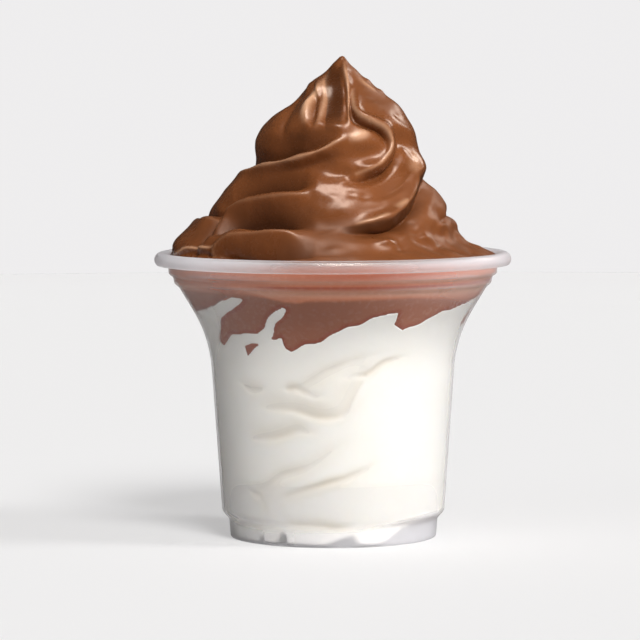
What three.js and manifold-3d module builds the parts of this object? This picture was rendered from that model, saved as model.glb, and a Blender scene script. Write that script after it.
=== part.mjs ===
// A soft serve sundae in a clear plastic cup: vanilla in the cup, chocolate over it, coiled up to a peak.
// Millimetres, +Z up. The origin is the middle of the cup's base, and the front is towards -Y.
import * as THREE from "three";
import { mergeVertices } from "three/addons/utils/BufferGeometryUtils.js";
import Module from "manifold-3d";

const wasm = await Module();
wasm.setup();

// The cup, thermoformed from one thin sheet.
const RIM_RADIUS = 47.5;
const CUP_HEIGHT = 76;
const WALL = 0.6;
const BASE_RADIUS = 27.7;
const PANEL_RADIUS = 22; // the middle of the base is pressed up, so that the cup stands on a ring
const PANEL_RISE = 0.8;
const PANEL_SLOPE = 1;
const BODY_RADIUS = 29.7; // at its lower end, where a rounded shoulder overhangs the foot
const SHOULDER_HEIGHT = 5.5;
const SHOULDER_ROUND = 1.6;
const TAPER_DEG = 4;
const FLARE_START = 45; // above this height the side bends outwards
const FLARE_RADIUS = 35;
const FLARE_DEG = 30.7;
const FLARE_TOP = 66;
const STACKING_STEPS = [
  { rise: 1.1, out: 1.7, wall: 1.7, lean: 0.3 },
  { rise: 0.8, out: 1.3, wall: 4.4, lean: 0.2 },
];
const LIP_END_DEG = -45; // the rim curls over and outwards to this angle below level
const SIDES = 48; // flats round the cup
const SHOULDER_FACETS = 3;
const FLARE_FACETS = 5;
const LIP_FACETS = 5;

// The ice cream in the cup.
const GAP = 0.3; // between the pieces
const FILL_EDGE = 74.8; // the chocolate's level at the wall, round the foot of the coil
const FILL_MIDDLE = 79; // and under the coil at the axis
const SEAM_MIDDLE = 57; // the height of the seam between the flavours at the axis
const SEAM_REACH = 37; // the distance from the axis at which the seam has its full tongues
const SEAM_SHARES = [1.4, 1, 0.7, 0.35]; // rings of the seam's surface, as shares of that distance

// Chocolate tongues hanging down the wall: each is deepest at its angle and climbs to the next one.
const TONGUES = [
  { angle: -150, low: 52.5, high: 57 },
  { angle: -109, low: 51.7, high: 62.5 },
  { angle: -58, low: 57, high: 63.5 },
  { angle: -14, low: 57.5, high: 64 },
  { angle: 32, low: 53, high: 62 },
  { angle: 78, low: 55, high: 63 },
  { angle: 122, low: 52, high: 61 },
  { angle: 166, low: 55, high: 63 },
];

// The rope of chocolate: its distance from the axis, height and half width at each half turn.
const HALF_TURNS = [
  { radius: 29, height: 61, half: 12 },
  { radius: 28.5, height: 67.5, half: 12.5 },
  { radius: 29, height: 72.5, half: 12.6 },
  { radius: 24, height: 79, half: 12.5 },
  { radius: 19.5, height: 85, half: 12.6 },
  { radius: 16.5, height: 92, half: 12.6 },
  { radius: 9.5, height: 101.5, half: 11.4 },
  { radius: 9, height: 107, half: 12.6 },
  { radius: 3, height: 110, half: 10.5 },
];
const COIL_START_DEG = -180;
const FLUTES = 7; // ridges that the star nozzle leaves along the rope
const FLUTE_DEPTH = 0.17; // of the rope's half width
const FLUTE_TWIST = 0.7; // turns that the ridges climb round the rope in each turn of the coil
const POINTS_PER_FLUTE = 4;
const COIL_STEP_DEG = 20;
const PIECE_STEPS = 12; // the coil is joined from pieces of under a turn, which never touch themselves
const CORE_RADIUS = 2; // the rope's inner side is squashed flat against a core along the axis
const CORE_OVERLAP = 1;

// The peak, where the rope turns upright and is drawn out to a point.
const PEAK_LOW = 104;
const PEAK_HEIGHT = 128;
const PEAK_RADIUS = 21.5;
const PEAK_TIP_RADIUS = 0.7;
const PEAK_LEAN = 2.6; // towards +X
const PEAK_LEVELS = 10;
const PEAK_TWIST_DEG = 70;
const PEAK_ROUNDNESS = 1.35; // 1 is a straight cone, and more domes its sides

const MERGE_DISTANCE = 1e-4;
const degrees = THREE.MathUtils.degToRad;

function solidFrom(geometry) {
  geometry.deleteAttribute("normal");
  geometry.deleteAttribute("uv");
  const merged = mergeVertices(geometry, MERGE_DISTANCE);
  return new wasm.Manifold(
    new wasm.Mesh({
      numProp: 3,
      vertProperties: merged.attributes.position.array,
      triVerts: new Uint32Array(merged.index.array),
    })
  );
}

// The largest body of a solid, without the slivers that faces in one plane leave when they are joined.
function geometryFrom(solid) {
  const bodies = solid.decompose().sort((a, b) => b.volume() - a.volume());
  const mesh = bodies[0].getMesh();
  const geometry = new THREE.BufferGeometry();
  geometry.setAttribute("position", new THREE.BufferAttribute(mesh.vertProperties, 3));
  geometry.setIndex(new THREE.BufferAttribute(mesh.triVerts, 1));
  geometry.computeVertexNormals();
  return geometry;
}

// A profile of (radius, height) points turned about +Z.
function turned(profile) {
  return new THREE.LatheGeometry(profile, SIDES).rotateX(Math.PI / 2);
}

// A closed body from rings of points, each ring with the same count, and flat or pointed ends.
function skinned(rings) {
  const count = rings[0].length;
  const positions = rings.flat().flatMap((p) => [p.x, p.y, p.z]);
  const index = [];
  for (let r = 0; r + 1 < rings.length; r += 1) {
    for (let i = 0; i < count; i += 1) {
      const a = r * count + i;
      const b = r * count + ((i + 1) % count);
      index.push(a, b, b + count, a, b + count, a + count);
    }
  }
  for (const end of [0, rings.length - 1]) {
    const middle = new THREE.Vector3();
    rings[end].forEach((p) => middle.addScaledVector(p, 1 / count));
    const hub = positions.length / 3;
    positions.push(middle.x, middle.y, middle.z);
    for (let i = 0; i < count; i += 1) {
      const a = end * count + i;
      const b = end * count + ((i + 1) % count);
      index.push(...(end === 0 ? [hub, b, a] : [hub, a, b]));
    }
  }
  const geometry = new THREE.BufferGeometry();
  geometry.setAttribute("position", new THREE.Float32BufferAttribute(positions, 3));
  geometry.setIndex(index);
  return solidFrom(geometry);
}

function arc(centre, radius, fromDeg, toDeg, steps) {
  return Array.from({ length: steps + 1 }, (_, i) => {
    const angle = degrees(THREE.MathUtils.lerp(fromDeg, toDeg, i / steps));
    return new THREE.Vector2(centre.x + radius * Math.cos(angle), centre.y + radius * Math.sin(angle));
  });
}

// The cup's side from the foot to the top of the steps, moved inwards by a depth.
function side(depth) {
  const shoulder = new THREE.Vector2(BODY_RADIUS - SHOULDER_ROUND, SHOULDER_HEIGHT + SHOULDER_ROUND);
  const straightTop = BODY_RADIUS + Math.tan(degrees(TAPER_DEG)) * (FLARE_START - shoulder.y);
  const bend = new THREE.Vector2(
    straightTop + FLARE_RADIUS * Math.cos(degrees(TAPER_DEG)),
    FLARE_START - FLARE_RADIUS * Math.sin(degrees(TAPER_DEG))
  );
  const flare = arc(bend, FLARE_RADIUS, 180 - TAPER_DEG, 180 - FLARE_DEG, FLARE_FACETS);
  const flareEnd = flare.at(-1);
  const coneTop = flareEnd.x + Math.tan(degrees(FLARE_DEG)) * (FLARE_TOP - flareEnd.y);
  const points = [
    ...arc(shoulder, SHOULDER_ROUND, -90, 0, SHOULDER_FACETS),
    ...flare,
    new THREE.Vector2(coneTop, FLARE_TOP),
  ];
  for (const step of STACKING_STEPS) {
    const from = points.at(-1);
    points.push(new THREE.Vector2(from.x + step.out, from.y + step.rise));
    points.push(new THREE.Vector2(from.x + step.out + step.lean, from.y + step.rise + step.wall));
  }
  return points.map((p) => new THREE.Vector2(p.x - depth, p.y));
}

function makeCup() {
  const outside = side(0);
  const inside = side(WALL).reverse();
  const lipRadius = (RIM_RADIUS - inside[0].x) / 2;
  const lipCentre = new THREE.Vector2(RIM_RADIUS - lipRadius, CUP_HEIGHT - lipRadius);
  const profile = [
    new THREE.Vector2(0, PANEL_RISE),
    new THREE.Vector2(PANEL_RADIUS, PANEL_RISE),
    new THREE.Vector2(PANEL_RADIUS + PANEL_SLOPE, 0),
    new THREE.Vector2(BASE_RADIUS - WALL, 0),
    new THREE.Vector2(BASE_RADIUS, WALL),
    ...outside,
    ...arc(lipCentre, lipRadius - WALL, 180, LIP_END_DEG, LIP_FACETS).slice(1),
    ...arc(lipCentre, lipRadius, LIP_END_DEG, 180, LIP_FACETS),
    ...inside.slice(1),
    new THREE.Vector2(BASE_RADIUS - WALL, PANEL_RISE + WALL),
    new THREE.Vector2(0, PANEL_RISE + WALL),
  ];
  return turned(profile);
}

// The inside of the cup less the gap, and above it a column whose top is domed up to the given height.
function room(top) {
  const wall = side(WALL + GAP);
  const floor = PANEL_RISE + WALL + GAP;
  return solidFrom(
    turned([
      new THREE.Vector2(0, floor),
      new THREE.Vector2(BASE_RADIUS - WALL - GAP, floor),
      ...wall,
      new THREE.Vector2(wall.at(-1).x, top - FILL_MIDDLE + FILL_EDGE),
      new THREE.Vector2(0, top),
    ])
  );
}

// The seam's height at an angle, and at a share of the way from the axis to the wall.
function seamHeight(angleDeg, share) {
  const past = TONGUES.map((tongue) => THREE.MathUtils.euclideanModulo(angleDeg - tongue.angle, 360));
  const nearest = past.indexOf(Math.min(...past));
  const tongue = TONGUES[nearest];
  const next = TONGUES[(nearest + 1) % TONGUES.length];
  const span = THREE.MathUtils.euclideanModulo(next.angle - tongue.angle, 360);
  const atWall = THREE.MathUtils.lerp(tongue.low, tongue.high, past[nearest] / span);
  return THREE.MathUtils.lerp(SEAM_MIDDLE, atWall, share * share);
}

// A round block from below the cup up to the seam between the flavours, raised by an offset.
function belowSeam(offset) {
  const ring = (share, level) =>
    Array.from({ length: SIDES }, (_, i) => {
      const angle = (i / SIDES) * 360;
      const height = level ?? seamHeight(angle, Math.min(share, 1)) + offset;
      const x = share * SEAM_REACH * Math.cos(degrees(angle));
      return new THREE.Vector3(x, share * SEAM_REACH * Math.sin(degrees(angle)), height);
    });
  const seam = SEAM_SHARES.map((share) => ring(share));
  return skinned([ring(SEAM_SHARES[0], -WALL), ...seam]);
}

// The half width of the rope at an angle round it: round ridges with narrow valleys between them.
function ropeHalf(half, flute) {
  return half * (1 - FLUTE_DEPTH * (1 - Math.abs(Math.cos((FLUTES * flute) / 2))));
}

// The rope's section in the plane through the axis at a coil angle.
function ropeSection(centreLine, coilDeg) {
  const along = (coilDeg - COIL_START_DEG) / (180 * (HALF_TURNS.length - 1));
  const { x: radius, y: height, z: half } = centreLine.getPoint(along);
  const turn = degrees(coilDeg);
  const count = FLUTES * POINTS_PER_FLUTE;
  return Array.from({ length: count }, (_, i) => {
    const flute = (i / count) * 2 * Math.PI;
    const angle = flute + FLUTE_TWIST * turn;
    const reach = ropeHalf(half, flute);
    const out = Math.cos(angle) < 0 ? CORE_RADIUS : radius + reach * Math.cos(angle);
    const x = out * Math.cos(turn);
    return new THREE.Vector3(x, out * Math.sin(turn), height + reach * Math.sin(angle));
  });
}

function makeCoil() {
  const knots = HALF_TURNS.map((k) => new THREE.Vector3(k.radius, k.height, k.half));
  const centreLine = new THREE.CatmullRomCurve3(knots);
  const steps = (180 * (HALF_TURNS.length - 1)) / COIL_STEP_DEG;
  const pieces = [];
  for (let first = 0; first < steps; first += PIECE_STEPS) {
    const last = Math.min(first + PIECE_STEPS, steps);
    const rings = [];
    for (let step = first; step <= last; step += 1) {
      rings.push(ropeSection(centreLine, COIL_START_DEG + step * COIL_STEP_DEG).reverse());
    }
    pieces.push(skinned(rings));
  }
  const core = turned([
    new THREE.Vector2(0, SEAM_MIDDLE),
    new THREE.Vector2(CORE_RADIUS + CORE_OVERLAP, SEAM_MIDDLE),
    new THREE.Vector2(CORE_RADIUS + CORE_OVERLAP, PEAK_LOW + CORE_OVERLAP),
    new THREE.Vector2(0, PEAK_LOW + CORE_OVERLAP),
  ]);
  return pieces.reduce((joined, piece) => joined.add(piece), solidFrom(core));
}

function makePeak() {
  const rings = Array.from({ length: PEAK_LEVELS }, (_, level) => {
    const share = level / (PEAK_LEVELS - 1);
    const half = THREE.MathUtils.lerp(PEAK_RADIUS, PEAK_TIP_RADIUS, Math.pow(share, PEAK_ROUNDNESS));
    const twist = degrees(PEAK_TWIST_DEG) * (1 - share) * (1 - share);
    const height = THREE.MathUtils.lerp(PEAK_LOW, PEAK_HEIGHT, share);
    const count = FLUTES * POINTS_PER_FLUTE;
    return Array.from({ length: count }, (_ignored, i) => {
      const angle = (i / count) * 2 * Math.PI;
      const reach = ropeHalf(half, angle);
      const x = PEAK_LEAN * share + reach * Math.cos(angle - twist);
      return new THREE.Vector3(x, reach * Math.sin(angle - twist), height);
    });
  });
  return skinned(rings);
}

function makeVanilla() {
  return geometryFrom(room(FILL_MIDDLE).intersect(belowSeam(0)));
}

function makeChocolate() {
  const swirl = makeCoil().add(makePeak());
  const column = room(PEAK_HEIGHT + FILL_MIDDLE - FILL_EDGE + 1);
  const whole = room(FILL_MIDDLE).add(swirl).intersect(column);
  return geometryFrom(whole.subtract(belowSeam(GAP)));
}

const clearPlastic = new THREE.MeshStandardMaterial({
  color: "#f1f1f6",
  roughness: 0.15,
  metalness: 0,
  transparent: true,
  opacity: 0.3,
});
const vanilla = new THREE.MeshStandardMaterial({ color: "#f4f1e6", roughness: 0.45, metalness: 0 });
const chocolate = new THREE.MeshStandardMaterial({ color: "#6f4122", roughness: 0.25, metalness: 0 });

const sundae = new THREE.Group();
const pieces = [
  ["cup", makeCup(), clearPlastic],
  ["vanilla_ice_cream", makeVanilla(), vanilla],
  ["chocolate_ice_cream", makeChocolate(), chocolate],
];
for (const [name, geometry, material] of pieces) {
  const mesh = new THREE.Mesh(geometry, material);
  mesh.name = name;
  sundae.add(mesh);
}

export default sundae;
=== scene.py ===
# A soft serve sundae in a clear plastic cup: vanilla below, chocolate over it, coiled up to a peak.
# Lengths are in millimetres until a mesh is made. The front is towards -Y and +Z is up.
import math

import bpy
import numpy as np
from mathutils import Matrix


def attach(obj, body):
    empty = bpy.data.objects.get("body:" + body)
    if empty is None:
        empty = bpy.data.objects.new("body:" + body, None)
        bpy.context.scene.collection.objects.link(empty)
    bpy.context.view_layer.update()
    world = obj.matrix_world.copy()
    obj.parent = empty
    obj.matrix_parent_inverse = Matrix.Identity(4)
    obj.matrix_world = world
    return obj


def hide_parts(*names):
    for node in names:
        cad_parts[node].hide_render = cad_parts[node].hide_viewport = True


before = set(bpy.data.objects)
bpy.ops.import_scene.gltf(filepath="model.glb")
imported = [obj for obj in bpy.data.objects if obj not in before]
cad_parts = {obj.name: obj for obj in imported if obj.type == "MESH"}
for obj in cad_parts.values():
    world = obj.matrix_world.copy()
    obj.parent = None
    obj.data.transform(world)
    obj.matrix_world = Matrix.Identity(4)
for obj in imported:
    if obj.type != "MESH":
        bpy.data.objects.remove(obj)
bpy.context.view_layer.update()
metresPerMm = 0.001


def smoothLine(points, perSpan=8):
    # Catmull-Rom curve, on each span from b to c with t from 0 to 1:
    # half of 2b + (c - a)t + (2a - 5b + 4c - d)t2 + (3b - a - 3c + d)t3
    p = np.asarray(points, float)
    p = np.vstack([2 * p[0] - p[1], p, 2 * p[-1] - p[-2]])
    a, b, c, d = (p[i:len(p) - 3 + i, None] for i in range(4))
    t = np.linspace(0, 1, perSpan, endpoint=False)[None, :, None]
    curve = 0.5 * (2 * b + (c - a) * t + (2 * a - 5 * b + 4 * c - d) * t ** 2
                   + (3 * b - a - 3 * c + d) * t ** 3)
    return np.vstack([curve.reshape(-1, p.shape[1]), p[-2]])


def filleted(corners, steps=6):
    # a profile of (radius, height, rounding): each corner becomes an arc that touches both of its sides
    c = np.asarray(corners, float)
    made = [c[:1, :2]]
    for before, at, after in zip(c[:-2], c[1:-1], c[2:]):
        u, v = before[:2] - at[:2], after[:2] - at[:2]
        u, v = u / np.hypot(*u), v / np.hypot(*v)
        half = math.acos(np.clip(u @ v, -1, 1)) / 2
        if at[2] == 0 or half > math.radians(89.5):
            made.append(at[None, :2])
            continue
        middle = at[:2] + (u + v) / np.hypot(*(u + v)) * at[2] / math.sin(half)
        start = at[:2] + u * at[2] / math.tan(half) - middle
        end = at[:2] + v * at[2] / math.tan(half) - middle
        w = np.linspace(0, 1, steps)[:, None]
        ray = start * (1 - w) + end * w
        made.append(middle + ray / np.linalg.norm(ray, axis=1)[:, None] * at[2])
    made.append(c[-1:, :2])
    return np.vstack(made)


def resampled(profile, gap):
    # the same profile with points every gap along its length
    run = np.r_[0, np.cumsum(np.hypot(*np.diff(profile, axis=0).T))]
    at = np.linspace(0, run[-1], max(2, int(round(run[-1] / gap)) + 1))
    return np.stack([np.interp(at, run, profile[:, k]) for k in range(2)], 1)


def offsetProfile(profile, by):
    # each point moves by the same distance to the left of the way the profile runs
    along = np.gradient(profile, axis=0)
    along /= np.linalg.norm(along, axis=1)[:, None]
    return profile + np.stack([-along[:, 1], along[:, 0]], 1) * by


def carried(radius, height, theta):
    # points at a radius and a height in every direction of theta round +Z
    return np.stack([radius * np.cos(theta), radius * np.sin(theta), height + 0 * theta], -1)


def bell(x, middle, width, power=2):
    # exp(-((x - middle) / width) to a power): 1 in the middle, near 0 beyond twice the width
    return np.exp(-((x - middle) / width) ** power)


def ramp(x, start, width):
    # 0 up to the start and 1 from start + width on; with a width below 0 it falls towards larger x
    return np.clip((x - start) / width, 0, 1)


def inScene(name, data):
    # a new object of the scene that shows this mesh, camera or lamp
    made = bpy.data.objects.new(name, data)
    bpy.context.scene.collection.objects.link(made)
    return made


def smoothed(values, count, reach, **padding):
    # each value becomes the mean of count values round it, weighted by a bell cut off at its reach
    kernel = bell(np.linspace(-reach, reach, count), 0, 1)
    return np.convolve(np.pad(values, count // 2, **padding), kernel / kernel.sum(), "valid")


def meshFromGrid(name, grid, firstPole, lastPole, values):
    # a closed skin from rows that run down and columns that run anticlockwise, with a point at each end:
    # each face joins a point and the one after it in its row with the two below them
    rows, columns = grid.shape[:2]
    points = np.vstack([grid.reshape(-1, 3), firstPole, lastPole]) * metresPerMm
    number = np.arange(rows * columns).reshape(rows, columns)
    after = np.roll(number, -1, 1)
    quads = np.stack([number[:-1], number[1:], after[1:], after[:-1]], -1).reshape(-1, 4)
    pole = np.full(columns, rows * columns)
    top = np.stack([pole, number[0], after[0]], 1)
    bottom = np.stack([pole + 1, after[-1], number[-1]], 1)
    mesh = bpy.data.meshes.new(name)
    mesh.from_pydata(points, [], [*quads.tolist(), *top.tolist(), *bottom.tolist()], shade_flat=False)
    for key, field in values.items():
        layer = mesh.attributes.new(key, "FLOAT", "POINT")
        ends = [field[0].mean(), field[-1].mean()]
        layer.data.foreach_set("value", np.r_[field.ravel(), ends].astype(np.float32))
    mesh.validate()
    return inScene(name, mesh)


def columnAngles(count, crowd):
    # angles round the axis, closer together at the front: a + crowd x (1 - cos(a)), whose steps are
    # narrowest at -90 degrees. The second array has them in degrees from -180 to 180
    a = np.linspace(0, 2 * np.pi, count, endpoint=False)
    theta = a + crowd - crowd * np.cos(a)
    return theta, (np.degrees(theta) + 180) % 360 - 180


def waves(points, size, count=24, seed=1):
    # soft noise between about -1 and 1: a sum of sines in random directions, each about size long
    draw = np.random.default_rng(seed)
    way = draw.normal(size=(count, 3))
    way *= (2 * np.pi / size * draw.uniform(0.7, 1.5, count) / np.linalg.norm(way, axis=1))[:, None]
    phase = draw.uniform(0, 2 * np.pi, count)
    flat = points.reshape(-1, 3)
    total = np.zeros(len(flat))
    for k in range(count):
        total += np.sin(flat @ way[k] + phase[k])
    return (total / math.sqrt(count / 2) / 1.6).reshape(points.shape[:-1])


def newMaterial(name):
    # a material without nodes, and its tree
    material = bpy.data.materials.new(name)
    material.use_nodes = True
    material.node_tree.nodes.clear()
    return material, material.node_tree


def addNode(tree, kind, values=None, **settings):
    # a node whose inputs get the values: a socket is linked, anything else is set
    node = tree.nodes.new("ShaderNode" + kind)
    for key, value in settings.items():
        setattr(node, key, value)
    for key, value in (values or {}).items():
        if isinstance(value, bpy.types.NodeSocket):
            tree.links.new(value, node.inputs[key])
        else:
            node.inputs[key].default_value = value
    return node


def mixColour(tree, share, first, second):
    # first x (1 - share) + second x share, with the share kept between 0 and 1
    return addNode(tree, "Mix", {0: share, 6: first, 7: second}, data_type="RGBA").outputs[2]


def mixShaders(tree, share, first, second):
    # first x (1 - share) + second x share
    return addNode(tree, "MixShader", {0: share, 1: first.outputs[0], 2: second.outputs[0]})


def doMath(tree, operation, *values, clamp=False):
    # one sum of two values, or first x second + third for MULTIPLY_ADD
    return addNode(tree, "Math", dict(enumerate(values)), operation=operation, use_clamp=clamp).outputs[0]


def attribute(tree, name):
    # the value that the mesh carries at each point under this name
    return addNode(tree, "Attribute", attribute_name=name).outputs["Fac"]


def noise(tree, place, size, detail=2.0):
    # size is in millimetres, and the noise reads Object coordinates in metres
    scale = 1 / (size * metresPerMm)
    return addNode(tree, "TexNoise", {"Vector": place, "Scale": scale, "Detail": detail}).outputs["Fac"]


def srgb(red, green, blue):
    # a colour on a 0 to 255 scale, as linear light
    c = np.array([red, green, blue]) / 255
    c = np.where(c <= 0.04045, c / 12.92, ((c + 0.055) / 1.055) ** 2.4)
    return (*c.tolist(), 1.0)


def endWith(tree, shader):
    # what the material's surface shows
    addNode(tree, "OutputMaterial", {"Surface": shader.outputs[0]})


view = {
    "distance": 982, "height": 128.1, "aside": -3.43, "downDeg": 4.10, "rollDeg": 0.15,
    "lens": 207.6, "sensor": 36, "farthest": 20,
}
camera = inScene("camera", bpy.data.cameras.new("camera"))
bpy.context.scene.camera = camera
camera.data.lens = view["lens"]
camera.data.sensor_width = view["sensor"]
camera.data.clip_end = view["farthest"]
camera.matrix_world = (
    Matrix.Translation([view["aside"] * metresPerMm, -view["distance"] * metresPerMm,
                        view["height"] * metresPerMm])
    @ Matrix.Rotation(math.radians(90 - view["downDeg"]), 4, "X")
    @ Matrix.Rotation(math.radians(-view["rollDeg"]), 4, "Z"))
print("camera placed")


cupShape = {
    "wall": 0.6, "baseWall": 0.4, "columns": 228, "spacing": 0.45,
    "tuck": 0.12,  # how far the ice cream reaches into the wall, so that no air shows between them
    "lipMiddle": (45.55, 74.05), "lipRadius": 1.95, "lipEndDeg": -45,
    "taperDeg": 4.0, "flareStart": 45.0, "flareRadius": 35.0, "flareDeg": 30.7, "flareTop": 66.7,
    # radius, height and rounding of the corners of the foot and of the neck under the lip, and the same
    # for the two mouldings, with their radii counted from the top of the flare
    "foot": [(27.5, 0.3, 0), (27.85, 4.9, 1.5), (29.7, 6.9, 2.0)], "coneFoot": 7.1,
    "neck": (43.9, 74.05, 0), "flareRounding": 0.9,
    "mouldings": [(1.3, 67.8, 0.8), (1.6, 69.5, 0.9), (2.8, 70.3, 0.8)],
    "ring": (23.1, 27.0), "hollow": 0.8,  # radii of the flat ring it stands on, and the hollow's depth
    "pole": 0.3, "baseSpacing": 2.0, "floorTop": 0.6,  # the inside's wall starts above this height
}


def cupSide():
    # the outer side from the foot to the lip: a 4 degree cone, an outward bend, a wider cone and two steps
    s = cupShape
    bend = math.radians(s["taperDeg"])
    low = s["foot"][-1][0]
    start = np.array([low + (s["flareStart"] - s["coneFoot"]) * math.tan(bend), s["flareStart"]])
    middle = start + s["flareRadius"] * np.array([math.cos(bend), -math.sin(bend)])
    a = np.radians(np.linspace(s["taperDeg"], s["flareDeg"], 24))
    flare = middle - s["flareRadius"] * np.stack([np.cos(a), -np.sin(a)], 1)
    top = flare[-1, 0] + (s["flareTop"] - flare[-1, 1]) * math.tan(math.radians(s["flareDeg"]))
    steps = [(top + out, height, rounding) for out, height, rounding in s["mouldings"]]
    steps = [(*flare[-1], 0), (top, s["flareTop"], s["flareRounding"]), *steps, s["neck"]]
    return np.vstack([filleted([*s["foot"], (*start, 0)]), flare[1:-1], filleted(steps)])


def arcPoints(middle, radius, fromDeg, toDeg, count):
    # middle + radius x (cos, sin) from one angle to the other
    a = np.radians(np.linspace(fromDeg, toDeg, count))
    return np.array(middle) + radius * np.stack([np.cos(a), np.sin(a)], 1)


outerSide = resampled(cupSide(), cupShape["spacing"])
innerSide = offsetProfile(outerSide, cupShape["wall"])
innerSide = innerSide[innerSide[:, 1] > cupShape["floorTop"]]


def innerRadius(height):
    # the radius of the cup's inside at a height
    return np.interp(height, innerSide[:, 1], innerSide[:, 0])


def softSide(side, angles, count, bridge):
    # the radii of a run down the inside. Towards the front, at -90 degrees, they bend less sharply at its
    # corners and go straight across the bridge, if there is one; at the sides they follow the wall
    radius = side[:, 0]
    soft = radius
    if bridge:
        low, high = bridge
        straight = np.interp(side[:, 1], (low[0], high), (low[1], innerRadius(high)))
        soft = np.where(side[:, 1] < high, np.minimum(radius, straight), radius)
    soft = smoothed(soft, count, 2, mode="edge")
    return radius[:, None] + np.minimum(soft - radius, 0)[:, None] * bell(angles, -90, 62, 6)


# The share of milky plastic on the lip, at the sides and on the foot, and how much less there is at the
# edges, where it would show as grey lines. An edge is a height and a half width; a start is a height and
# the millimetres over which the haze comes in, below 0 for downwards
cupHaze = {
    "lip": 0.12, "side": 0.2, "foot": 0.5, "edge": -0.1,
    "mouldings": [(67.3, 0.7), (69.9, 0.5)], "step": (6.0, 0.9),
    "lipStart": (71.5, 1.5), "lipRadius": (43.7, 0.5), "rimStart": (63, 3), "flareStart": (46, 8),
    "footStart": (4.8, -0.8), "footRise": 3,  # the foot's haze reaches higher at the right
}


def hazeOver(radius, height, angle):
    # a sum of bells at the edges and of ramps with height, shared out between the left and the right
    c = cupHaze
    left, right = ramp(-np.cos(angle), 0.2, 0.6), ramp(np.cos(angle), 0.2, 0.6)
    edges = sum(bell(height, *edge) for edge in c["mouldings"])
    edges = edges + bell(height, *c["step"]) * (1 - left) * (1 - right)
    lip = ramp(height, *c["lipStart"]) * ramp(radius, *c["lipRadius"])
    haze = c["edge"] * edges + lip * (c["lip"] + c["side"] * (1.6 * left + 0.3 * right))
    haze = haze + ramp(height, *c["rimStart"]) * c["side"] * (0.5 * left + right)
    haze = haze + 0.5 * c["side"] * left * ramp(height, *c["flareStart"])
    start, width = c["footStart"]
    foot = ramp(height, start + c["footRise"] * right, width)
    return haze + c["foot"] * foot * np.clip(0.5 + 0.6 * np.cos(angle + 0.35), 0.4, 1)


def makeCup():
    # the closed wall turned about +Z: up the inside, over the lip, down the outside and in under the base
    s = cupShape
    wall, thin, up, pole = s["wall"], s["baseWall"], s["hollow"], s["pole"]
    near, far = s["ring"]
    floor = [(pole, up + thin), (near - 1.5, up + thin), (near - 0.3, thin), (far - 0.6, thin),
             (far - 0.2, thin + 0.1)]
    base = [(far + 0.3, 0.05), (far, 0.0), (near, 0.0), (near - 1.1, up), (pole, up)]
    over = arcPoints(s["lipMiddle"], s["lipRadius"], 178, s["lipEndDeg"], 26)
    under = arcPoints(s["lipMiddle"], s["lipRadius"] - wall, s["lipEndDeg"], 172, 20)
    inside = innerSide[innerSide[:, 1] < 73.6]
    outside = outerSide[::-1][outerSide[::-1][:, 1] < 73.8]
    profile = np.vstack([resampled(np.array(floor), s["baseSpacing"]), inside, over, under, outside,
                         resampled(np.array(base), s["baseSpacing"])])
    radius, height = profile[:, :1], profile[:, 1:]
    angle = np.linspace(0, 2 * np.pi, s["columns"], endpoint=False)
    return meshFromGrid("clear_cup", carried(radius, height, angle), (0, 0, floor[0][1]),
                        (0, 0, base[-1][1]), {"haze": hazeOver(radius, height, angle)})


cup = makeCup()


def cupMaterial():
    # clear where seen straight, more mirror and haze at grazing angles, and milky at the rim and the foot:
    # mirror = 0.1 x facing to the 5th + 0.02, milk = haze attribute + 0.03 + 0.46 x facing to the 1.8th
    c = {"sheen": 0.18, "haze": 0.03, "slantHaze": 0.46, "slantPower": 1.8, "glow": 0.4,
         "mirror": (0.1, 0.02), "mirrorPower": 5.0, "shadowThrough": 0.9,
         "clear": (0.985, 0.985, 0.99, 1), "milk": (0.87, 0.865, 0.89, 1), "lit": (0.92, 0.9, 0.91, 1)}
    material, tree = newMaterial("clear plastic")
    clear = addNode(tree, "BsdfTransparent", {"Color": c["clear"]})
    mirror = addNode(tree, "BsdfPrincipled", {"Base Color": (1, 1, 1, 1), "Metallic": 1.0,
                                              "Roughness": c["sheen"]})
    edge = addNode(tree, "LayerWeight", {"Blend": 0.5}).outputs["Facing"]
    glance = doMath(tree, "MULTIPLY_ADD", doMath(tree, "POWER", edge, c["mirrorPower"]), *c["mirror"])
    shiny = mixShaders(tree, glance, clear, mirror)
    front = addNode(tree, "BsdfPrincipled", {"Base Color": c["milk"], "Roughness": 0.25})
    glow = addNode(tree, "BsdfTranslucent", {"Color": c["lit"]})
    milky = mixShaders(tree, c["glow"], front, glow)
    share = doMath(tree, "ADD", attribute(tree, "haze"), c["haze"])
    share = doMath(tree, "MULTIPLY_ADD", doMath(tree, "POWER", edge, c["slantPower"]), c["slantHaze"],
                   share, clamp=True)
    both = mixShaders(tree, share, shiny, milky)
    lamp = addNode(tree, "LightPath")
    through = doMath(tree, "MULTIPLY", lamp.outputs["Is Shadow Ray"], c["shadowThrough"])
    shader = mixShaders(tree, through, both, clear)
    endWith(tree, shader)
    return material


cup.data.materials.append(cupMaterial())
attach(cup, "root")
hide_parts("cup")
print("cup made")


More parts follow.
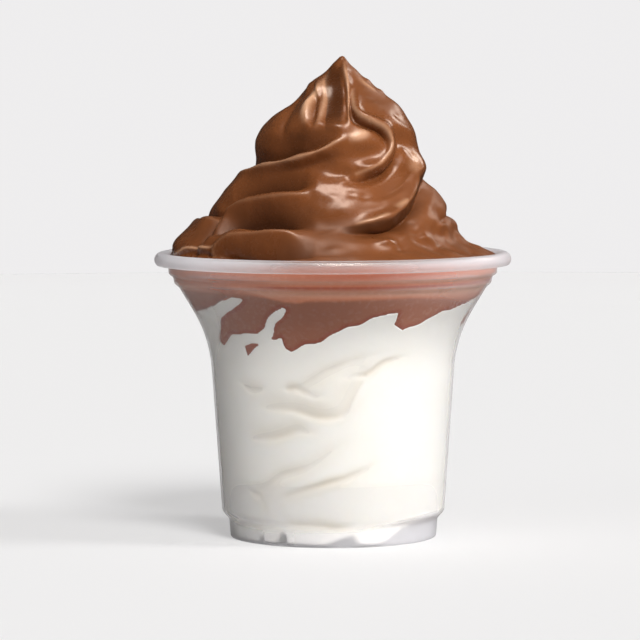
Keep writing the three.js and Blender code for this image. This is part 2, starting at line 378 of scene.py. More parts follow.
# Angle in degrees, -90 in front and 0 at the right, and height along lines on the wall: the edge of the
# chocolate, a fleck of it in the vanilla, and the patch where a thin film of it shows pale
meeting = [
    (-205, 63.5), (-198, 59.5), (-193, 55.5), (-190, 54.5), (-182, 57.5), (-169, 60.2), (-158, 61.2),
    (-147, 63.1), (-137, 64.7), (-131, 65.4), (-125.5, 65.7), (-130, 63.7), (-137, 62), (-143, 59.8),
    (-147, 57.3), (-153.6, 53.4), (-149.6, 51.9), (-145, 53.9), (-141, 55.4), (-134.6, 55.9), (-129, 56.1),
    (-125, 56.2), (-121, 57.6), (-118, 59.8), (-113.4, 62.6), (-110, 63.4), (-108, 63.1), (-111, 61.3),
    (-115, 58.3), (-119, 55.1), (-112.6, 55.6), (-111.5, 52.7), (-109, 51.7), (-104.4, 53.1), (-98, 54.2),
    (-87.6, 57.1), (-78.2, 59.5), (-68.6, 61.5), (-63.6, 62), (-63.1, 59.7), (-63.4, 58.9), (-58.5, 57),
    (-54.6, 57.9), (-48, 59.6), (-38.6, 61.7), (-25.5, 63), (-12, 64.6), (-5, 64.9), (-9, 62.5), (-15, 58),
    (-14, 56.6), (-8, 57.2), (6, 59.4), (22, 62.3), (38, 64), (43, 63.9), (39, 61.5), (32, 57), (31, 53.6),
    (34, 52.8), (42, 54.3), (60, 58.6), (78, 62.6), (85, 63.4), (82, 61), (76, 56.4), (78, 54.9), (92, 57.8),
    (110, 61), (124, 62.4), (128, 62), (122, 58.3), (117, 53.2), (120, 51.8), (132, 55.8), (148, 61.4),
    (155, 63.5),
]
island = [
    (-134, 52.8), (-128, 53.5), (-124, 53.3), (-128, 52.1), (-133, 50.1), (-134, 51.3), (-134, 52.8),
]
contact = [
    (-121, 69.5), (-118, 67.9), (-115, 65.8), (-108.5, 64.8), (-102.7, 64.6), (-96.8, 65.7), (-91.6, 66.3),
    (-88, 69.5), (-121, 69.5),
]
meanRadius = 38
unroll = math.radians(1) * meanRadius  # millimetres along the wall for each degree


def flavourSide(angleDeg, height, line):
    # distance in millimetres from the line on the unrolled wall, and whether the line is crossed an odd
    # number of times straight below the point
    line = np.array(line, float)
    turns = (-360, 0, 360)
    a = np.vstack([line[:-1] + (turn, 0) for turn in turns])
    b = np.vstack([line[1:] + (turn, 0) for turn in turns])
    point = np.stack([angleDeg.ravel(), height.ravel()], 1)
    scale = np.array([unroll, 1.0])
    nearest = np.full(len(point), 1e9)
    below = np.zeros(len(point), int)
    for start, end in zip(a, b):
        side = (end - start) * scale
        off = (point - start) * scale
        along = np.clip(off @ side / (side @ side), 0, 1)
        nearest = np.minimum(nearest, np.linalg.norm(off - along[:, None] * side, axis=1))
        crosses = (point[:, 0] >= min(start[0], end[0])) & (point[:, 0] < max(start[0], end[0]))
        if start[0] != end[0]:
            level = start[1] + (point[:, 0] - start[0]) * (end[1] - start[1]) / (end[0] - start[0])
            below += crosses & (level < point[:, 1])
    return nearest.reshape(angleDeg.shape), (below % 2 == 1).reshape(angleDeg.shape)


def intoChocolate(angleDeg, height):
    # how far a point on the wall lies inside the chocolate, in millimetres, and below 0 in the vanilla.
    # Soft noise moves the point by up to half a degree and a third of a millimetre
    on = carried(meanRadius, height, np.radians(angleDeg))
    angleDeg = angleDeg + waves(on, 7, seed=21) * 0.5
    height = height + waves(on, 7, seed=22) * 0.35
    far, above = flavourSide(angleDeg, height, meeting)
    spot, inSpot = flavourSide(angleDeg, height, island)
    far = np.where(above, far, -far)
    return np.maximum(far, np.where(inSpot, spot, -spot))


def wallRows(s, angle):
    # rows down the cup's inside, evenly spaced between two heights: their profile, then the angle, the
    # height, the radius with its tuck, and the distance into the chocolate of every point
    side = innerSide[(innerSide[:, 1] < s["wallTop"]) & (innerSide[:, 1] > s["wallLow"])][::-1]
    side = resampled(side, (len(side) - 1) * cupShape["spacing"] / s["wallRows"])
    around = np.repeat(angle[None, :], len(side), 0)
    high = np.repeat(side[:, 1:], len(angle), 1)
    radius = softSide(side, angle, s["rounding"], s.get("bridge")) + cupShape["tuck"]
    return side, around, high, radius, intoChocolate(around, high)


def nearLine(line, points, normals, reach):
    # for every point: its distance to a line of (x, y, z, strength), positive to the left of the line, the
    # strength at the nearest place, and the unit vector towards it
    a, b = line[:-1, :3], line[1:, :3]
    signed = np.full(len(points), 1e9)
    place = np.zeros(len(points))
    towards = np.zeros_like(points)
    low, high = line[:, :3].min(0) - reach, line[:, :3].max(0) + reach
    inside = np.flatnonzero(((points > low) & (points < high)).all(1))
    near, normal = points[inside], normals[inside]
    best = np.full(len(inside), 1e18)
    for k in range(len(a)):
        side = b[k] - a[k]
        off = near - a[k]
        along = np.clip(off @ side / (side @ side), 0, 1)
        gap = off - along[:, None] * side
        square = (gap * gap).sum(1)
        closer = np.flatnonzero(square < best)
        best[closer] = square[closer]
        left = (np.cross(side, off[closer]) * normal[closer]).sum(1)
        length = np.sqrt(square[closer])
        signed[inside[closer]] = np.where(left >= 0, length, -length)
        place[inside[closer]] = k + along[closer]
        towards[inside[closer]] = -gap[closer] / np.maximum(length, 1e-6)[:, None]
    return signed, np.interp(place, np.arange(len(line)), line[:, 3]), towards


swirl = {
    "columns": 368, "rows": 200, "crowd": 0.4, "rounding": 17,
    # how far down the wall the chocolate's skin runs, and how deep it stays behind the vanilla's there
    "wallRows": 58, "wallTop": 74.4, "wallLow": 48.5, "deepest": 2.6,
    # height, half width and sideways shift of the coil, taken over the crests of its lobes
    "outline": [
        (128, 0.5, 2.6), (127.2, 1.2, 2.5), (125.5, 2.7, 2.1), (123, 4.9, 1.9), (120.5, 8.4, 2.3),
        (117, 11.9, 2.9), (114.5, 15, 2.6), (111.5, 18.2, 1.8), (108.4, 20.3, 1.2), (104.3, 21.7, 1),
        (100, 22.8, 0.9), (96.5, 24.7, 0), (92.5, 28, -0.6), (89, 30.6, -0.6), (86.5, 32.2, -0.7),
        (84.6, 33.9, -1.3), (82.5, 35.7, -2.4), (80.2, 37.7, -3.5), (78, 39.7, -3), (76.6, 41.5, -1.2),
        (75.4, 43.1, 0), (74.9, 43.75, 0)],
    "seam": 57.0, "sheet": 3.2,  # height of the flavours' seam, and thickness of the wall's chocolate
    # how far a line reaches, how far a bank droops, and the depth where a hollow's painted shade is darkest
    "reach": 14, "pull": 1.8, "fullShadeDepth": 4.2,
    # soft noise all over, and more of it low down at the right: size, seed and height
    "wobble": [(11, 3, 0.22), (4, 4, 0.03)], "rough": [(8, 5, 0.35), (4, 6, 0.08)],
}

# Lines drawn on the coil: the widths on their left and right, as seen walking along them on the surface,
# then their form, then angle, height and strength in millimetres. A ridge leans to its right, and its
# crest gets a painted highlight, a pale line whose strength and spread its form gives. A hollow's banks
# have powers for their curves, and its left bank droops and gets painted shade, by its shade over its fade
ridges = {
    "peak blade": ((1.1, 0.7), {"lean": 0.2, "highlightPaint": 1}, [
        (-60, 126.5, 0.2), (-72, 124.6, 0.6), (-75, 122.5, 1), (-80, 119.5, 1.3), (-83, 116.8, 1.4),
        (-83, 114.2, 1.4), (-82, 112.4, 1.1), (-82, 110.8, 0.5), (-82, 109.4, 0.1)]),
    "left flute": ((1.8, 1.6), {"highlightPaint": 1.8, "spread": 1.1}, [
        (-132, 122, 0.1), (-128, 120, 0.5), (-130, 118.3, 0.9), (-131, 116, 1.1), (-126, 113.6, 0.9),
        (-119, 111.4, 0.3)]),
    "right flute": ((1.6, 1.4), {"highlightPaint": 1.4, "spread": 0.8}, [
        (-148, 124, 0.1), (-132, 122, 0.4), (-119, 119.3, 0.7), (-112, 115.6, 0.6), (-108, 112.6, 0.4),
        (-107, 109.9, 0.1)]),
    "hook": ((1.7, 1.1), {"lean": 0.6, "highlightPaint": 1}, [
        (-74, 119, 0.3), (-77, 116.8, 0.9), (-77, 114.4, 1.5), (-73, 112.5, 2), (-67, 111.4, 2.2),
        (-60, 110.4, 2.3), (-54, 109.3, 2.3), (-50, 107.6, 2.2), (-49, 105.4, 2.1), (-53, 103, 1.9),
        (-58, 101.2, 1.4), (-64, 99.6, 0.5)]),
    "hook end": ((1.8, 2.4), {"lean": -0.4, "highlightPaint": 0.6}, [
        (-49, 105.4, 0.6), (-54, 102.6, 1.7), (-61, 100.1, 2.2), (-69, 98.5, 2), (-76, 97.5, 0.8)]),
    "bulb edge": ((0.8, 1.8), {"lean": -0.2, "highlightPaint": 1}, [
        (-250, 92.5, 0.8), (-215, 95, 0.6), (-180, 96.7, 0.5), (-160, 97.8, 1), (-146, 99, 1.4),
        (-135, 99.9, 1.5), (-123, 100.8, 1.5), (-115, 101.5, 1.5), (-107, 102.5, 1.5), (-101, 103.4, 1.4),
        (-96, 104.3, 1.2), (-91, 105.4, 0.9), (-86, 106.3, 0.5), (-81, 106.9, 0.1)]),
    "upper shoulder": ((1.2, 3), {"lean": -0.3}, [
        (-148, 84, 1), (-152, 87.2, 1.4), (-147, 89.3, 1.5), (-138, 90.6, 1.5), (-126, 91.4, 1.5),
        (-114, 91.9, 1.3), (-106, 92.2, 0.8), (-100, 92.3, 0.1)]),
    "right shoulder": ((1.6, 3), {"lean": -0.2, "highlightPaint": 0.1}, [
        (-64, 91, 0.1), (-54, 92.6, 0.6), (-45, 95, 0.9), (-34, 97.1, 0.8)]),
    "lower shoulder": ((1.3, 3), {"lean": -0.4}, [
        (-137, 75.6, 1), (-136, 78.6, 1.5), (-133, 80.6, 1.7), (-127, 81.4, 1.7), (-118, 81.8, 1.6),
        (-110, 82.2, 1.6), (-105, 82.4, 1.3), (-101, 81.8, 0.6), (-98, 80.8, 0.1)]),
    "left shoulder": ((1.2, 3), {"lean": -0.3}, [
        (-205, 83, 0.8), (-180, 84, 0.8), (-160, 85.1, 0.9), (-149, 86, 0.6)]),
    "low lip": ((0.7, 1.2), {"lean": 0.2, "highlightPaint": 1.5}, [
        (-166, 75.8, 0.4), (-159, 76.8, 0.9), (-154, 78, 0.9), (-148, 78.6, 0.9), (-141, 78.7, 0.8),
        (-137, 79.4, 0.4)]),
    "under lip": ((1.7, 1.1), {"lean": 0.7, "highlightPaint": 0.12}, [
        (-80, 85.1, 0.1), (-75, 85.2, 0.8), (-69, 85.6, 1.4), (-64, 86.3, 1.7), (-59, 87.3, 1.8),
        (-53, 89, 1.7), (-44, 91.6, 1.5), (-32, 94.8, 0.9)]),
    # painted highlights: lines hardly raised, whose crests are painted pale as highlights
    "painted lip glint": ((0.5, 0.5), {"highlightPaint": 9, "spread": 0.45}, [
        (-79, 85.1, 0), (-75, 85.5, 0.11), (-70, 85.9, 0.12), (-65, 86.6, 0.1), (-62, 87.1, 0)]),
    "painted lip highlight": ((0.5, 0.5), {"highlightPaint": 9, "spread": 0.6}, [
        (-59, 88.5, 0), (-55, 89.3, 0.12), (-51, 90.2, 0.1), (-49, 90.7, 0)]),
    "painted hook highlight": ((0.5, 0.5), {"highlightPaint": 12, "spread": 1.3}, [
        (-83, 106.8, 0), (-79, 107, 0.08), (-74, 107.4, 0.12), (-69, 108.1, 0.1), (-65, 108.7, 0)]),
    "painted peak highlight": ((0.5, 0.5), {"highlightPaint": 8, "spread": 1}, [
        (-37, 122.2, 0), (-37, 121, 0.1), (-35, 120, 0.12), (-31, 119.2, 0.08), (-28, 118.8, 0)]),
    "painted side highlight": ((0.5, 0.5), {"highlightPaint": 7, "spread": 1.9}, [
        (-23, 103.6, 0), (-28, 101.8, 0.1), (-32, 99.8, 0.12), (-35, 98.2, 0.08), (-38, 97, 0)]),
}
hollows = {
    "furrow": ((4.8, 3), {"curves": (0.9, 1), "shade": 0.8}, [
        (-175, 126, 0.2), (-163, 124.9, 0.5), (-140, 123, 0.8), (-122, 121, 1.1), (-114, 118.2, 1.2),
        (-108, 115.4, 1.2), (-104, 113, 1), (-101, 110.8, 0.6), (-99, 108.8, 0.3), (-97, 107, 0)]),
    "flute valley": ((1.2, 2.2), {"curves": (1, 1)}, [
        (-150, 121.5, 0.2), (-137, 119.1, 0.8), (-124, 116.3, 1.1), (-116, 113.6, 1), (-112, 111.2, 0.8),
        (-110, 109.2, 0.5), (-108, 107.2, 0.1)]),
    "under hook": ((1.8, 2.4), {"curves": (1.4, 1.2), "droop": 0.5}, [
        (-76, 120.5, 0.3), (-80, 117.5, 1), (-80, 114.8, 1.7), (-78, 112.8, 2.3), (-72, 111.2, 2.4),
        (-65, 110.1, 2.4), (-58, 109.1, 2.2), (-53, 107.3, 1.8), (-53, 105.2, 1), (-57, 103.2, 0.3)]),
    "above bulb edge": ((8, 1.5), {"curves": (1.1, 1.3), "droop": 0.4}, [
        (-250, 94.3, 2.2), (-215, 96.8, 2.4), (-180, 98.2, 2.6), (-160, 99.4, 2.8), (-147, 100.6, 3),
        (-136, 101.6, 3.3), (-122, 102.8, 3.4), (-107, 104.4, 2.6), (-99, 105.6, 1.7), (-92, 107.2, 0.8),
        (-87, 108.6, 0.1)]),
    "below bulb edge": ((1.8, 4.5), {"curves": (1.2, 1.4)}, [
        (-150, 97.4, 0.3), (-140, 98, 1.2), (-125, 98.9, 1.9), (-112, 99.6, 1.9), (-101, 100.6, 1.4),
        (-91, 101.8, 0.4)]),
    "bulb crease": ((4.5, 3.5), {"curves": (1.8, 2)}, [
        (-196, 121, 0), (-178, 118.5, 0.4), (-160, 115.6, 0.9), (-148, 113.2, 1.2), (-141, 110.2, 1.2),
        (-138, 106.6, 0.8), (-140, 103.4, 0.3), (-142, 101.5, 0)]),
    "hook tail": ((1.6, 3), {"curves": (1.6, 1.6), "droop": 0.6}, [
        (-80, 95.6, 0.6), (-73, 96, 1.6), (-66, 96.8, 2.4), (-59, 97.8, 2.7), (-53, 99.2, 2.4),
        (-49, 101, 1.5), (-47, 102.8, 0.6)]),
    "above upper shoulder": ((9, 2.6), {"curves": (1, 1.1), "droop": 0.2}, [
        (-152, 89.5, 1.8), (-145, 92.2, 3.6), (-132, 93.8, 4.4), (-119, 94.4, 4), (-110, 94.8, 2.6),
        (-104, 94.9, 1), (-99, 95, 0.1)]),
    "above lower shoulder": ((10, 2.8), {"curves": (0.95, 1.1), "droop": 0.2}, [
        (-144, 82.6, 2), (-136, 84.8, 5), (-122, 85.2, 5.6), (-112, 85.4, 4.8), (-104, 85.6, 2.8),
        (-97, 84.6, 0.8), (-93, 82.6, 0.1)]),
    "beside shoulders": ((1.6, 8), {"curves": (1.5, 1.6), "droop": 0.6}, [
        (-153, 91, 1.2), (-153, 88, 2.2), (-150, 84.5, 2.8), (-146, 81, 2.8), (-146, 78, 2), (-147, 76, 1)]),
    "left notch": ((4, 1.6), {"curves": (2, 1.6), "droop": 0.6}, [
        (-290, 78.5, 2.2), (-250, 81.2, 2.4), (-215, 83.8, 2.2), (-180, 85.4, 2), (-165, 86.4, 2.4),
        (-154, 87.6, 1.8)]),
    "below lower shoulder": ((7, 2), {"curves": (1, 1.3), "shade": 0.5, "fade": 0.8}, [
        (-144, 76.6, 0.8), (-136, 76.8, 2.8), (-122, 76.9, 3.8), (-109, 76.9, 3.4), (-99, 77, 1.6),
        (-94, 77, 0.3)]),
    "under fold": ((2.2, 4.6), {"curves": (1.2, 1.4), "droop": 0.8, "shade": 0.7}, [
        (-84, 83.2, 0.2), (-78, 83.3, 1.2), (-72, 83.5, 2.4), (-66, 83.9, 3.2), (-60, 84.8, 3.5),
        (-52, 86.6, 3.5), (-44, 88.9, 3.2), (-36, 91.4, 2.7), (-22, 94.8, 2.1), (-5, 96.3, 1.5),
        (25, 95.6, 2), (60, 93, 2.6), (95, 93.6, 2.6)]),
    "fold waist": ((4.5, 1.6), {"curves": (1.2, 1.2), "droop": 0.2}, [
        (-66, 91.4, 0.2), (-57, 92.4, 1.2), (-48, 93.8, 1.8), (-39, 96, 1.6), (-31, 98.4, 0.5)]),
    "right notch": ((2.4, 4), {"curves": (1.6, 1.8), "droop": 0.6}, [
        (-34, 84, 0.4), (-20, 85.8, 1.2), (-5, 86.6, 1.8), (20, 86.3, 2.2), (60, 86, 2.6), (105, 88, 2.6),
        (150, 91.5, 2.6)]),
}
# Soft bulges and dents: angle, height, half size across, half size up and down, and rise
swellings = [
    (-127, 107, 5.4, 3.8, -1.4), (-109, 109.4, 2.4, 1.8, 0.8), (-112, 91, 5, 2.4, 0.6),
    (-84, 97.4, 7, 1.8, -0.9), (-70, 88.2, 4.5, 1.4, -0.25), (-92, 84.4, 9, 3.6, -1.2),
    (-87, 109.6, 3, 1.6, 0.5), (-120, 119.5, 5, 4.5, 0.9), (-54, 88.4, 1.6, 1.3, 0.35),
    (-90, 91.6, 1.7, 1.4, 0.3), (-80, 92.2, 1.4, 1.1, -0.3), (-74, 91.6, 1.4, 1, -0.3),
    (-68, 105.5, 4.5, 2.4, 1), (-62, 101.8, 3.6, 2.2, -0.6), (-37, 105.4, 4, 2.4, -0.8),
    (-28, 98.4, 7, 4.4, 2.8), (-28, 101.4, 1.6, 1.2, -0.3), (-36, 103.4, 1.4, 1.2, 0.3),
    (-34, 123.4, 3.6, 2.4, 0.9), (-20, 108.2, 6, 2.4, 0.5), (-40, 117, 3, 1.8, -0.4),
    (-28, 112.2, 1.6, 1.2, -0.25), (-165, 120.5, 1.2, 0.9, 0.2), (-169, 116.3, 1.3, 0.9, 0.4),
    (-10, 121.3, 1.4, 1, 0.5), (-6, 118.6, 1.2, 0.9, 0.4), (-90, 78.4, 2.6, 1.2, 0.5),
    (-68, 80.2, 2, 1.6, 0.9), (-62, 78.2, 1.8, 1.3, -0.7), (-48, 80.8, 2, 1.2, 0.8), (-50, 86.8, 3, 1.8, 0.7),
    (-30, 83.6, 3.4, 2, 0.9), (-38, 78.6, 2.8, 1.6, -0.8), (-16, 80.6, 2.6, 1.6, 0.7),
    (-8, 78, 2.2, 1.4, -0.6), (-140, 77.3, 1, 0.8, 0.5), (-136, 76.8, 0.9, 0.7, 0.4),
    (-143, 78.3, 0.8, 0.7, 0.4),
]


def tableFromOutline():
    # height, radius, shift and distance down from the peak along the outline, smoothed over about 2 mm,
    # lowest first
    line = smoothLine(swirl["outline"], 10)
    run = np.r_[0, np.cumsum(np.hypot(np.diff(line[:, 0]), np.diff(line[:, 1])))]
    at = np.arange(0, run[-1], 0.1)
    fine = np.stack([np.interp(at, run, line[:, k]) for k in range(3)], 1)
    soft = np.stack([smoothed(column, 41, 2.2, mode="reflect", reflect_type="odd") for column in fine.T], 1)
    return np.hstack([soft, at[:, None]])[::-1]


coilTable = tableFromOutline()


def swirlBase(theta, height):
    # a circle at each height whose radius and sideways shift follow the outline
    radius, shift = (np.interp(height, coilTable[:, 0], coilTable[:, k]) for k in (1, 2))
    on = carried(radius, height, theta)
    on[..., 0] += shift
    return on


def outlineRows(count):
    # heights evenly spaced along the outline's own length
    down = coilTable[::-1]
    return np.interp(np.linspace(0, down[-1, 3], count), down[:, 3], down[:, 0])


def gridNormals(grid):
    # the cross product of the way round and the way up, with the rows running down
    down = np.gradient(grid, axis=0)
    around = (np.roll(grid, -1, 1) - np.roll(grid, 1, 1)) / 2
    normal = np.cross(down, around)
    return normal / np.maximum(np.linalg.norm(normal, axis=2, keepdims=True), 1e-9)


def drawnLine(points):
    # the smooth line through (angle, height, strength), laid on the coil
    p = smoothLine(points, 7)
    return np.hstack([swirlBase(np.radians(p[:, 0]), p[:, 1]), p[:, 2:3]])


def carve(grid):
    # ridge: strength x exp(-(distance / width)2). hollow: strength x (1 - distance / width) to a power.
    # lines that meet are joined by their fourth powers, and a point near one droops towards it
    normals = gridNormals(grid)
    points, flat = grid.reshape(-1, 3), normals.reshape(-1, 3)
    rise, dent = np.zeros(len(points)), np.zeros(len(points))
    shift, paintedHighlight, dark = np.zeros_like(points), np.zeros(len(points)), np.zeros(len(points))
    for widths, form, line in ridges.values():
        signed, strength, towards = nearLine(drawnLine(line), points, flat, swirl["reach"])
        width = np.where(signed > 0, *widths)
        shape = strength * bell(signed, 0, width)
        rise += shape ** 4
        # painted highlight: a pale line along each ridge's crest
        highlightPaint = form.get("highlightPaint", 0.3) * np.clip(strength, 0, 1)
        paintedHighlight = np.maximum(paintedHighlight, highlightPaint * bell(signed, 0, form.get("spread", 0.42)))
        away = np.where(signed > 0, 1, -1)[:, None] * towards
        shift += away * (form.get("lean", 0) * shape / 2)[:, None]
    rise = rise ** 0.25
    for widths, form, line in hollows.values():
        signed, strength, towards = nearLine(drawnLine(line), points, flat, swirl["reach"])
        left = signed > 0
        share = np.clip(np.abs(signed) / np.where(left, *widths), 0, 1)
        dent += (strength * (1 - share) ** np.where(left, *form["curves"])) ** 4
        pull = left * form.get("droop", 0) * strength * swirl["pull"] * share * (1 - share) ** 2
        shift += towards * np.where(np.abs(signed) < 1e8, pull, 0)[:, None]
        # painted shade: the hollow's left bank darker
        shade = form.get("shade", 0) * np.clip(strength, 0, 1)
        dark = np.maximum(dark, shade * left * ramp(1 - share, 0, form.get("fade", 0.2)))
    dent = dent ** 0.25
    angle = np.degrees(np.arctan2(points[:, 1], points[:, 0]))
    reach, down = (np.interp(points[:, 2], coilTable[:, 0], coilTable[:, k]) for k in (1, 3))
    for turn, height, across, along, lift in swellings:
        apart = np.radians((angle - turn + 180) % 360 - 180) * reach / across
        below = (down - np.interp(height, coilTable[:, 0], coilTable[:, 3])) / along
        rise += lift * np.exp(-apart ** 2 - below ** 2)
    moved = points + flat * (rise - dent)[:, None] + shift
    # painted shade: the deeper a hollow, the darker
    dark = np.maximum(dark, ramp(dent - rise, 0, swirl["fullShadeDepth"]) ** 1.5)
    return moved.reshape(grid.shape), dark.reshape(grid.shape[:2]), paintedHighlight.reshape(grid.shape[:2])


def eased(grid, times):
    # each point moves halfway to the mean of its four neighbours; the first and last rows stay
    for _ in range(times):
        beside = (np.roll(grid, 1, 1) + np.roll(grid, -1, 1)) / 2
        grid = grid.copy()
        grid[1:-1] = 0.5 * grid[1:-1] + 0.25 * beside[1:-1] + 0.125 * (grid[:-2] + grid[2:])
    return grid


# What the coil and the wall's chocolate differ in from plain brown: strengths, and bells and ramps over the
# angle in degrees (At) or the height in millimetres. A ramp with a width below 0 comes in downwards
paint = {
    # duller parts of the coil: strength, middle and half width in angle, power, and ramp
    "matt": [(1.0, -8, 40, 2, (97, -4)), (1.0, -89, 14, 4, (87, -1.5)), (0.8, -36, 26, 2, (112, 4))],
    "mattSpot": 1.3, "mattSpotAt": (-147, 9), "mattSpotHeight": (84.5, 3.5),
    # the lower edge of the thin film by angle, and the angles from which the front's film fades out, then
    # painted light making the sides paler, left out at the front
    "filmEdge": ([-180, -150, -132, -120, -110, -60, -40, -20, 40, 180],
                 [65.2, 66.8, 67.6, 66.2, 64.6, 65.2, 64.2, 63.0, 64.0, 65.2]),
    "filmStart": 1.2, "frontLeft": (-124, 16), "frontRight": (150, -60), "paintedLightSides": 0.4, "palerAt": (-95, 36),
    # painted light: pale bands over the mouldings' ledges, with more of it at the right
    "upperPaintedLight": 0.7, "upperPaintedLightBand": (70.2, 0.5), "lowerPaintedLight": 0.85, "lowerPaintedLightBand": (67.2, 1.1),
    "paintedLightRight": 0.6,
    # painted shade: a red line under a moulding; then redder bands
    "red": 1.3, "paintedShadeLineBand": (68.7, 0.34), "upperRed": 0.4, "upperRedBand": (71.9, 0.8),
    "upperRedAt": (-72, 30), "allRed": 0.3, "allRedRamp": (66, 1), "allRedAt": (-78, 30),
    # a red line along the chocolate's edge: strength, distance from the edge, and how high it goes
    "edgeRed": 0.6, "edgeRedBand": (0.5, 0.5), "edgeRedTop": 65.5,
}


def wallPaint(around, high, inside):
    # film: how thin the chocolate is on the wall, plus painted light at the sides and over the mouldings;
    # over 1 it is all painted light, palest. line: how red it is, mostly a painted shade line under a
    # moulding
    c = paint
    far, inContact = flavourSide(around, high, contact)
    patch = np.clip(0.3 + np.where(inContact, far, -far) / 0.6, 0, 1)
    ahead = ramp(around, *c["frontLeft"]) * ramp(around, *c["frontRight"])
    thin = ramp(high, np.interp(around, *c["filmEdge"]), c["filmStart"])
    # painted light: the sides paler
    paintedLightSides = c["paintedLightSides"] * (1 - bell(around, *c["palerAt"]))
    # painted light: pale bands over the mouldings' ledges, more at the right
    light = c["upperPaintedLight"] * bell(high, *c["upperPaintedLightBand"]) * ahead
    light = light + c["lowerPaintedLight"] * bell(high, *c["lowerPaintedLightBand"])
    light = light * (1 + c["paintedLightRight"] * np.clip(np.cos(np.radians(around)), 0, 1))
    filmAndPaintedLight = np.maximum(np.maximum(patch, thin) + light, paintedLightSides)
    # painted shade: a red line under a moulding
    line = c["red"] * bell(high, *c["paintedShadeLineBand"]) * ahead
    line += c["upperRed"] * bell(high, *c["upperRedBand"]) * bell(around, *c["upperRedAt"])
    line += c["allRed"] * ramp(high, *c["allRedRamp"]) * bell(around, *c["allRedAt"])
    edge = bell(np.clip(inside, 0, 9), *c["edgeRedBand"]) * (inside > -0.2) * (high < c["edgeRedTop"])
    return filmAndPaintedLight, np.clip(line + c["edgeRed"] * edge, 0, 1)


def makeChocolate():
    # one closed skin: the coil from its peak to the rim, the wall down to the meeting of the flavours,
    # and back up inside to the seam at the axis
    s = swirl
    theta, angle = columnAngles(s["columns"], s["crowd"])
    heights = outlineRows(s["rows"] + 1)[1:, None]
    base = swirlBase(theta[None, :], heights)
    # painted shade in the hollows and painted highlights on the crests, for the material
    coil, paintedShade, paintedHighlight = carve(base)
    lower = ramp(heights, 75.0, 1.5)
    coil = eased(base + (coil - base) * lower[..., None], 3)
    wobble, rough = (sum(waves(coil, size, seed=seed) * lift for size, seed, lift in s[key])
                     for key in ("wobble", "rough"))
    wobble = wobble + rough * bell(angle, -25, 42) * ramp(heights, 91, -8)
    coil = coil + gridNormals(coil) * (wobble * lower * ramp(heights, 127.5, -4))[..., None]
    side, around, high, radius, inside = wallRows(s, angle)
    wall = carried(radius - np.clip(-inside, 0, s["deepest"]), high, theta)
    back = [(side[-1, 0] - s["sheet"], side[-1, 1]), (innerRadius(s["seam"]) - s["sheet"], s["seam"] - 0.6)]
    back = np.array(back + [(r, s["seam"]) for r in (24, 16, 8, 2)])
    hidden = carried(back[:, :1], back[:, 1:], theta)
    filmAndPaintedLight, line = wallPaint(around, high, inside)
    dull = sum(share * bell(angle, middle, width, power) * ramp(heights, *start)
               for share, middle, width, power, start in paint["matt"])
    spot = bell(angle, *paint["mattSpotAt"]) * bell(heights, *paint["mattSpotHeight"])
    dull = dull + paint["mattSpot"] * spot
    none, off, full = np.zeros(paintedShade.shape), np.zeros(wall.shape[:2]), np.ones(hidden.shape[:2])
    values = {"filmAndPaintedLight": (none, filmAndPaintedLight, 0 * full), "line": (none, line, 0 * full),
              "pressed": (none, ramp(high, 75, -1.5), full), "paintedShade": (paintedShade, off, 0 * full),
              "paintedHighlight": (paintedHighlight, off, 0 * full), "matt": (dull, off, 0 * full)}
    return meshFromGrid("chocolate_swirl", np.vstack([coil, wall, hidden]),
                        (2.6, 0, 128.0), (0, 0, s["seam"]), {k: np.vstack(v) for k, v in values.items()})


def chocolateMaterial():
    # wet brown, with painted shade in the hollows and painted highlights on the crests, paler where a thin
    # film lies on the plastic, with painted light over its ledges and sides and a painted shade line
    c = {"brown": (129, 75, 41), "brownPatch": (118, 67, 35), "dark": (62, 31, 13), "wall": (150, 96, 74),
         "paintedHighlight": (216, 166, 130), "filmAndPaintedLight": (205, 129, 95), "pale": (232, 178, 150), "line": (140, 38, 22)}
    c = {key: srgb(*value) for key, value in c.items()}
    gloss, patchSize, grainSize = 0.24, 14, 1.3
    material, tree = newMaterial("chocolate ice cream")
    place = addNode(tree, "TexCoord").outputs["Object"]
    tone = addNode(tree, "MapRange", {"Value": noise(tree, place, patchSize), "From Min": 0.35,
                                      "From Max": 0.7})
    brown = mixColour(tree, tone.outputs[0], c["brownPatch"], c["brown"])
    # painted shade in hollows, a bit darker where matt, painted highlights on crests, pressed wall, film
    for name, share, colour in (("paintedShade", 0.95, "dark"), ("matt", 0.12, "dark"), ("paintedHighlight", 0.55, "paintedHighlight"),
                                ("pressed", 1, "wall"), ("filmAndPaintedLight", 1, "filmAndPaintedLight")):
        brown = mixColour(tree, doMath(tree, "MULTIPLY", attribute(tree, name), share), brown, c[colour])
    # painted light: where the film value passes 1 it turns pale, over the ledges, the sides and the right
    brown = mixColour(tree, doMath(tree, "SUBTRACT", attribute(tree, "filmAndPaintedLight"), 1.0), brown, c["pale"])
    # a red line, mostly a painted shade line under a moulding
    brown = mixColour(tree, doMath(tree, "MULTIPLY", attribute(tree, "line"), 0.75), brown, c["line"])
    grain = noise(tree, place, grainSize, 3.0)
    uneven = addNode(tree, "MapRange", {"Value": grain, "To Min": gloss - 0.04, "To Max": gloss + 0.09})
    bump = addNode(tree, "Bump", {"Strength": 0.04, "Distance": 0.0004, "Height": grain})
    shader = addNode(tree, "BsdfPrincipled", {
        "Base Color": brown, "Normal": bump.outputs[0], "Specular IOR Level": 0.3,
        "Roughness": doMath(tree, "MULTIPLY_ADD", attribute(tree, "matt"), 0.24, uneven.outputs[0])})
    endWith(tree, shader)
    return material


chocolate = makeChocolate()
chocolate.data.materials.append(chocolateMaterial())
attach(chocolate, "root")
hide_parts("chocolate_ice_cream")
print("chocolate made")


vanillaShape = {
    "columns": 300, "wallRows": 130, "wallTop": 66.6, "wallLow": 0, "rounding": 9, "footRound": 0.9,
    "reach": 10,
    "bridge": ((0.4, 26.4), 17.0),  # from this height and radius up to this height the front is one slope
}
